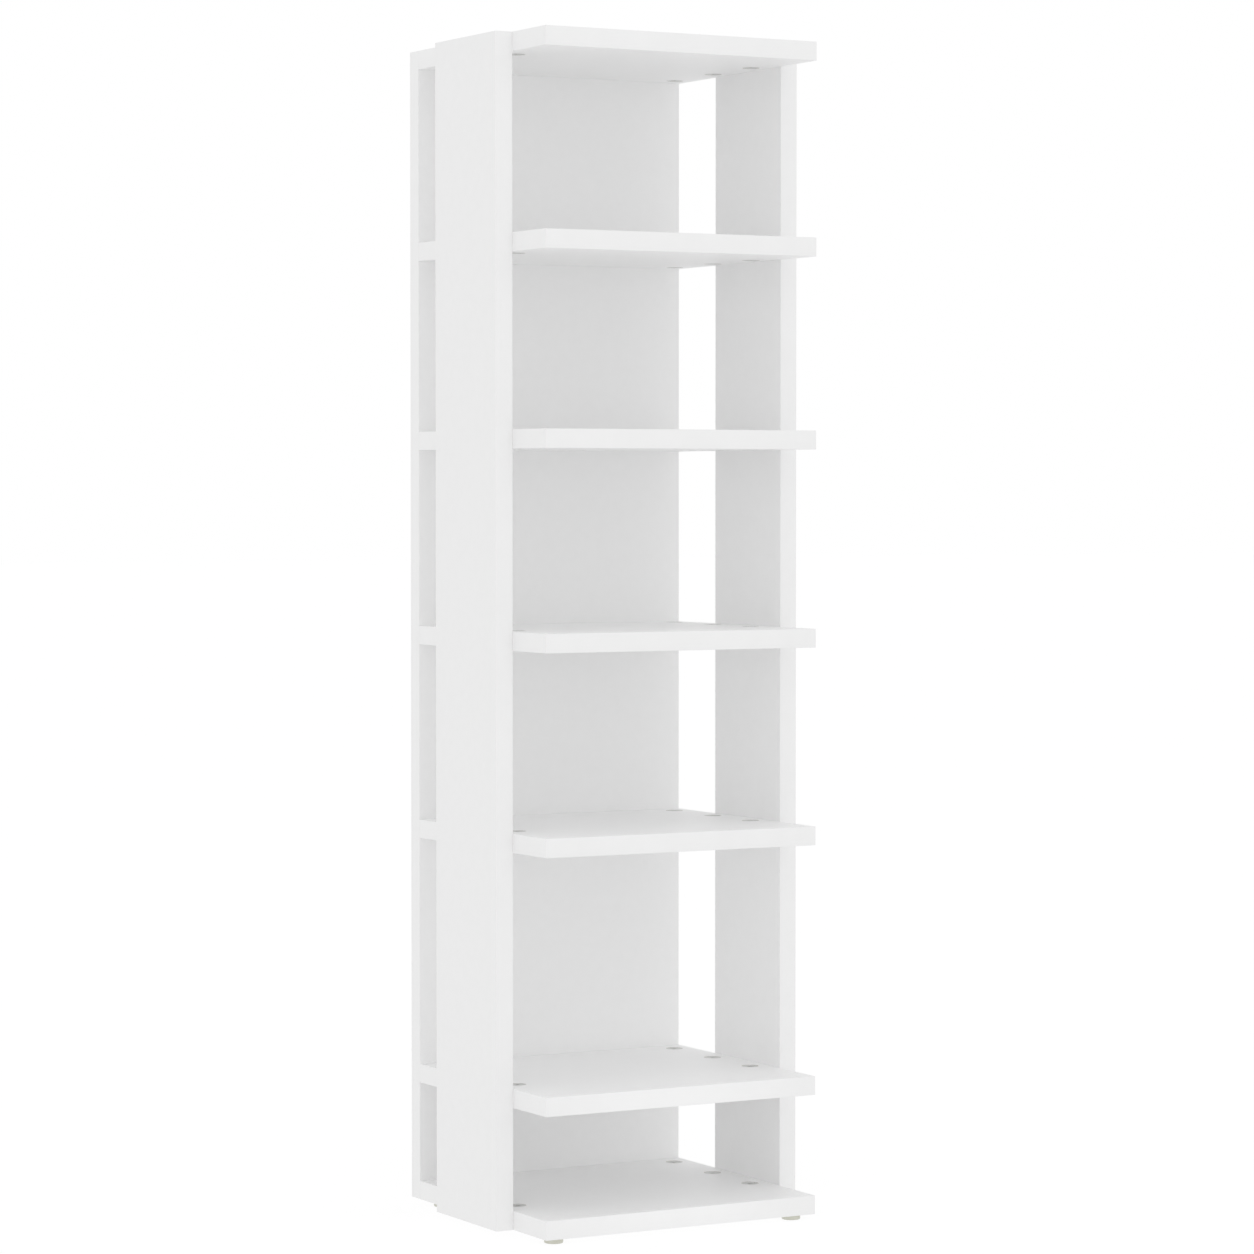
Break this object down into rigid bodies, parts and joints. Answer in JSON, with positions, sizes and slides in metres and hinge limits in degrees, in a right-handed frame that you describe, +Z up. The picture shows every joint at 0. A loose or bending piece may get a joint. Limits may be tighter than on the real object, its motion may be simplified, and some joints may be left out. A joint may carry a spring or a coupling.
{
  "type": "open tower shelf",
  "caption": "Tall narrow open shelf unit: level boards overhang two slim side panels and butt against a full-height back panel, joined by cam locks and dowels.",
  "frame": {"origin": "on the floor, under the middle of the whole shelf", "axes": "+Z up, the open front faces -Y, the back panel is at +Y, +X to the right seen from the front"},
  "size_m": [0.292, 0.248, 1],
  "materials": {
    "melamine": "white melamine facing with a fine satin grain",
    "edging": "white edge banding, satin, slightly smoother than the faces",
    "zinc": "bright zinc die-casting with a cross slot",
    "bolt_steel": "zinc-plated steel",
    "beech": "plain turned beech",
    "glide_plastic": "natural pale beige moulded plastic",
    "adhesive": "white adhesive foam"
  },
  "bodies": {
    "root": {"top_board": "melamine", "shelf_2": "melamine", "shelf_3": "melamine", "shelf_4": "melamine", "shelf_5": "melamine", "shelf_6": "melamine", "bottom_board": "melamine", "left_side_panel": "melamine", "right_side_panel": "melamine", "back_panel": "melamine", "top_board_edging": "edging", "shelf_2_edging": "edging", "shelf_3_edging": "edging", "shelf_4_edging": "edging", "shelf_5_edging": "edging", "shelf_6_edging": "edging", "bottom_board_edging": "edging", "left_side_panel_edging": "edging", "right_side_panel_edging": "edging", "back_panel_edging": "edging", "left_cam_locks": "zinc", "right_cam_locks": "zinc", "back_cam_locks": "zinc", "left_cam_bolts": "bolt_steel", "right_cam_bolts": "bolt_steel", "back_cam_bolts": "bolt_steel", "left_dowels": "beech", "right_dowels": "beech", "back_dowels": "beech", "foot_glides": "glide_plastic", "glide_adhesive_discs": "adhesive"}
  },
  "joints": []
}
